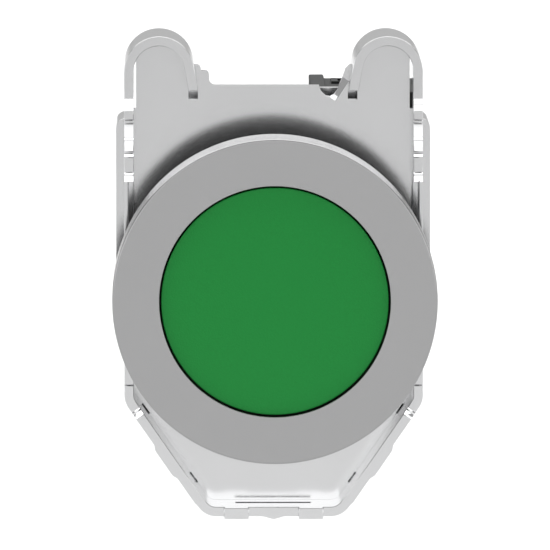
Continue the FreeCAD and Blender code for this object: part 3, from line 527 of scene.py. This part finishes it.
class PUSH_OT_seals(bpy.types.Operator):
    """Turns the wiper seal round the cap and the gasket behind the bezel"""

    bl_idname = "push_button.seals"
    bl_label = "Seals"

    def execute(self, context):
        low, high = corners("wiper_seal")
        middle = (low.y + high.y) / 2
        lip = corners("push_cap")[1].x + SEAL_GAP
        body = lip + SEAL_BITE
        seal = [
            (high.x, low.y),
            (high.x, high.y),
            (body, high.y),
            (lip, middle + 2 * SEAL_LIP),
            (lip, middle + SEAL_LIP),
            (body, middle),
            (lip, middle - SEAL_LIP),
            (lip, middle - 2 * SEAL_LIP),
            (body, low.y),
        ]
        turned("seal", seal, "wiper_seal", SEAL_EDGE)
        low, high = corners("panel_gasket")
        bore = GASKET_BORE_R
        gasket = [(bore, low.y), (high.x, low.y), (high.x, high.y), (bore, high.y)]
        turned("gasket", gasket, "panel_gasket", GASKET_EDGE)
        return {"FINISHED"}


class PUSH_OT_barrel(bpy.types.Operator):
    """Rounds the cast barrel, its guide sleeve and the snap ring that holds the sleeve"""

    bl_idname = "push_button.barrel"
    bl_label = "Barrel"

    def execute(self, context):
        rounded_copy("head_barrel", settings().moulded_edge)
        rounded_copy("guide_sleeve", settings().moulded_edge)
        rounded_copy("retaining_ring", settings().edge)
        return {"FINISHED"}


class PUSH_OT_stem(bpy.types.Operator):
    """Rounds the stem behind the cap and the foot that works the contact block"""

    bl_idname = "push_button.stem"
    bl_label = "Stem and foot"

    def execute(self, context):
        for node in ("pusher_stem", "actuator_foot"):
            rounded_copy(node, settings().moulded_edge, 3)
        return {"FINISHED"}


class PUSH_OT_springs(bpy.types.Operator):
    """Winds the return spring and the contact block's two springs"""

    bl_idname = "push_button.springs"
    bl_label = "Springs"

    def execute(self, context):
        spring("return_spring", RETURN_WIRE_R, RETURN_TURNS)
        spring("plunger_spring", BLOCK_WIRE_R, PLUNGER_TURNS)
        spring("contact_spring", BLOCK_WIRE_R, CONTACT_TURNS)
        return {"FINISHED"}


class PUSH_OT_collar(bpy.types.Operator):
    """Rounds the collar's band with its ears, its front plate and the mounting frame"""

    bl_idname = "push_button.collar"
    bl_label = "Collar"

    def execute(self, context):
        for node in ("collar_band", "collar_plate", "mounting_frame"):
            rounded_copy(node, settings().edge)
        return {"FINISHED"}


class PUSH_OT_locking_ring(bpy.types.Operator):
    """Rounds the bayonet ring and its bent lever"""

    bl_idname = "push_button.locking_ring"
    bl_label = "Locking ring"

    def execute(self, context):
        rounded_copy("locking_ring", settings().edge)
        return {"FINISHED"}


class PUSH_OT_screws(bpy.types.Operator):
    """Makes the fixing screw and the two terminal screws, with their threads"""

    bl_idname = "push_button.screws"
    bl_label = "Screws"

    def execute(self, context):
        screw("fixing_screw", FIXING_R, FIXING_PITCH, settings().moulded_edge)
        for node in ("terminal_screw_lower", "terminal_screw_upper"):
            screw(node, TERMINAL_R, TERMINAL_PITCH, settings().moulded_edge)
        return {"FINISHED"}


class PUSH_OT_clamps(bpy.types.Operator):
    """Rounds the pressure pad and the two wire clamps"""

    bl_idname = "push_button.clamps"
    bl_label = "Pad and clamps"

    def execute(self, context):
        for node in ("pressure_pad", "clamp_lower", "clamp_upper"):
            rounded_copy(node, settings().moulded_edge)
        return {"FINISHED"}


class PUSH_OT_block(bpy.types.Operator):
    """Rounds the contact block's housing and cover, and adds its ribs and wire funnels"""

    bl_idname = "push_button.block"
    bl_label = "Contact block"

    def execute(self, context):
        for node in ("block_housing", "block_cover"):
            rounded_copy(node, settings().moulded_edge)
        self.ribs()
        self.funnels()
        return {"FINISHED"}

    def ribs(self):
        """Grip ribs across the housing's outer side."""
        low, high = corners("block_housing")
        bm = bmesh.new()
        for rib in range(RIBS):
            y = low.y + RIB_FROM + rib * RIB_PITCH
            start = Vector((high.x - RIB_PROUD, y, low.z + RIB_MARGIN))
            end = Vector((high.x + RIB_PROUD, y + RIB_WIDE, high.z - RIB_MARGIN))
            box_in(bm, start, end)
        ribs = new_piece("block_ribs", bm, "black_plastic", "collar")
        bevelled(ribs, settings().moulded_edge)

    def funnels(self):
        """Raised rims round the two wire entries."""
        clamp_low, clamp_high = corners("clamp_upper")
        rear = clamp_low.y
        front = rear - ENTRY_DEEP
        middle = (clamp_low.x + clamp_high.x) / 2
        top = clamp_high.z + CLAMP_COVER
        bottom = corners("block_housing")[0].z
        half = WIRE_ENTRY / 2
        bm = bmesh.new()
        for face in (top, bottom):
            z0, z1 = face - FUNNEL_PROUD, face + FUNNEL_PROUD
            for side in (-1, 1):
                x0, x1 = sorted((middle + side * half, middle + side * (half + FUNNEL_RIM)))
                box_in(bm, Vector((x0, front, z0)), Vector((x1, rear, z1)))
            x0, x1 = middle - half - FUNNEL_RIM, middle + half + FUNNEL_RIM
            for y0, y1 in ((front - FUNNEL_RIM, front), (rear, rear + FUNNEL_RIM)):
                box_in(bm, Vector((x0, y0, z0)), Vector((x1, y1, z1)))
        funnels = new_piece("wire_funnels", bm, "black_plastic", "collar")
        bevelled(funnels, settings().edge)


class PUSH_OT_plunger(bpy.types.Operator):
    """Rounds the green plunger inside the contact block"""

    bl_idname = "push_button.plunger"
    bl_label = "Plunger"

    def execute(self, context):
        rounded_copy("contact_plunger", settings().moulded_edge)
        return {"FINISHED"}


class PUSH_OT_contacts(bpy.types.Operator):
    """Rounds the moving bridge, the fixed strips and the silver tips"""

    bl_idname = "push_button.contacts"
    bl_label = "Contacts"

    def execute(self, context):
        for node in ("moving_bridge", "terminal_lower", "terminal_upper"):
            rounded_copy(node, settings().edge)
        for node in ("bridge_tips", "fixed_tips"):
            rounded_copy(node, settings().moulded_edge, 3)
        return {"FINISHED"}


class PUSH_OT_stage(bpy.types.Operator):
    """Adds the floor, the lights round it and the camera"""

    bl_idname = "push_button.stage"
    bl_label = "Stage"

    def execute(self, context):
        look = context.scene.push_button_stage
        context.scene.view_settings.view_transform = "Standard"
        self.sky(context.scene, look)
        self.floor(context)
        self.softbox(context, "rear_softbox", *REAR_BOX, look.rear_glow)
        self.softbox(context, "top_softbox", *TOP_BOX, look.top_glow)
        self.camera(context, look)
        return {"FINISHED"}

    def sky(self, scene, look):
        """A plain studio sky: bright low down in front of the object, dimmer behind it and overhead."""
        world = bpy.data.worlds.new("studio")
        scene.world = world
        world.use_nodes = True
        tree = world.node_tree
        background = tree.nodes["Background"]
        coords = tree.nodes.new("ShaderNodeTexCoord")
        parts = tree.nodes.new("ShaderNodeSeparateXYZ")
        tree.links.new(coords.outputs["Generated"], parts.inputs["Vector"])
        smooth = "SMOOTHSTEP"
        depth = spread(
            tree, parts.outputs["Y"], look.sky_front, look.sky_back, -SKY_TURN, SKY_TURN, smooth)
        height = spread(tree, parts.outputs["Z"], 0.0, 1.0, SKY_LOW, SKY_HIGH, smooth)
        mix = tree.nodes.new("ShaderNodeMix")
        mix.inputs["B"].default_value = look.sky_top
        tree.links.new(height, mix.inputs["Factor"])
        tree.links.new(depth, mix.inputs["A"])
        tree.links.new(mix.outputs["Result"], background.inputs["Strength"])
        background.inputs["Color"].default_value = (1.0, 1.0, 1.0, 1)

    def floor(self, context):
        """A plain pale floor below the object."""
        bm = bmesh.new()
        bmesh.ops.create_grid(bm, x_segments=1, y_segments=1, size=FLOOR_SIZE)
        bmesh.ops.translate(bm, verts=bm.verts, vec=(0, 0, CAD_BOX[0][2] - FLOOR_GAP))
        mesh = bpy.data.meshes.new("floor")
        bm.to_mesh(mesh)
        bm.free()
        floor = bpy.data.objects.new("floor", mesh)
        context.collection.objects.link(floor)
        grey = (FLOOR_GREY, FLOOR_GREY, FLOOR_GREY)
        mesh.materials.append(material("paper", grey, 0.0, 0.9)[0])

    def softbox(self, context, name, place, width, depth, glow):
        """A soft rectangular light that shines straight down. Glow is its brightness."""
        light = bpy.data.lights.new(name, "AREA")
        light.shape = "RECTANGLE"
        light.size = width
        light.size_y = depth
        light.energy = glow * math.pi * width * depth
        lamp = bpy.data.objects.new(name, light)
        lamp.location = place
        context.collection.objects.link(lamp)

    def camera(self, context, look):
        """The camera, aimed at the collar's upper part, a little above level."""
        data = bpy.data.cameras.new("camera")
        data.sensor_width = 36.0
        data.lens = look.camera_distance * data.sensor_width / look.view_width
        data.clip_end = SIGHT_END
        aim = Vector((0.0, CAD_BOX[0][1], AIM_HEIGHT))
        azimuth = look.camera_azimuth
        height = look.camera_elevation
        across = math.cos(height)
        away = Vector((math.sin(azimuth) * across, -math.cos(azimuth) * across, math.sin(height)))
        camera = bpy.data.objects.new("camera", data)
        camera.location = aim + away * look.camera_distance
        camera.rotation_euler = (-away).to_track_quat("-Z", "Y").to_euler()
        context.collection.objects.link(camera)
        context.scene.camera = camera


class PUSH_PT_pieces(bpy.types.Panel):
    """Lists the push button's settings and its pieces"""

    bl_idname = "PUSH_PT_pieces"
    bl_label = "Push button"
    bl_space_type = "VIEW_3D"
    bl_region_type = "UI"
    bl_category = "Push button"

    def draw(self, context):
        groups = (("Sizes and colours", "push_button"), ("Camera and lights", "push_button_stage"))
        for title, group in groups:
            box = self.layout.box()
            box.label(text=title)
            values = getattr(context.scene, group)
            for name in values.__annotations__:
                box.prop(values, name)
        for piece in PIECES:
            self.layout.operator(piece.bl_idname)


PIECES = (
    PUSH_OT_stage,
    PUSH_OT_bezel,
    PUSH_OT_cap,
    PUSH_OT_seals,
    PUSH_OT_barrel,
    PUSH_OT_stem,
    PUSH_OT_springs,
    PUSH_OT_collar,
    PUSH_OT_locking_ring,
    PUSH_OT_screws,
    PUSH_OT_clamps,
    PUSH_OT_block,
    PUSH_OT_plunger,
    PUSH_OT_contacts,
)
CLASSES = (PushButtonSettings, PushButtonStageSettings) + PIECES + (PUSH_PT_pieces,)


def register():
    for cls in CLASSES:
        bpy.utils.register_class(cls)
    bpy.types.Scene.push_button = bpy.props.PointerProperty(type=PushButtonSettings)
    bpy.types.Scene.push_button_stage = bpy.props.PointerProperty(type=PushButtonStageSettings)


def unregister():
    del bpy.types.Scene.push_button_stage
    del bpy.types.Scene.push_button
    for cls in reversed(CLASSES):
        bpy.utils.unregister_class(cls)


def main():
    register()
    bpy.ops.push_button.stage()
    bpy.ops.push_button.bezel()
    bpy.ops.push_button.cap()
    bpy.ops.push_button.seals()
    bpy.ops.push_button.barrel()
    bpy.ops.push_button.stem()
    bpy.ops.push_button.springs()
    bpy.ops.push_button.collar()
    bpy.ops.push_button.locking_ring()
    bpy.ops.push_button.screws()
    bpy.ops.push_button.clamps()
    bpy.ops.push_button.block()
    bpy.ops.push_button.plunger()
    bpy.ops.push_button.contacts()


if __name__ == "__main__":
    main()
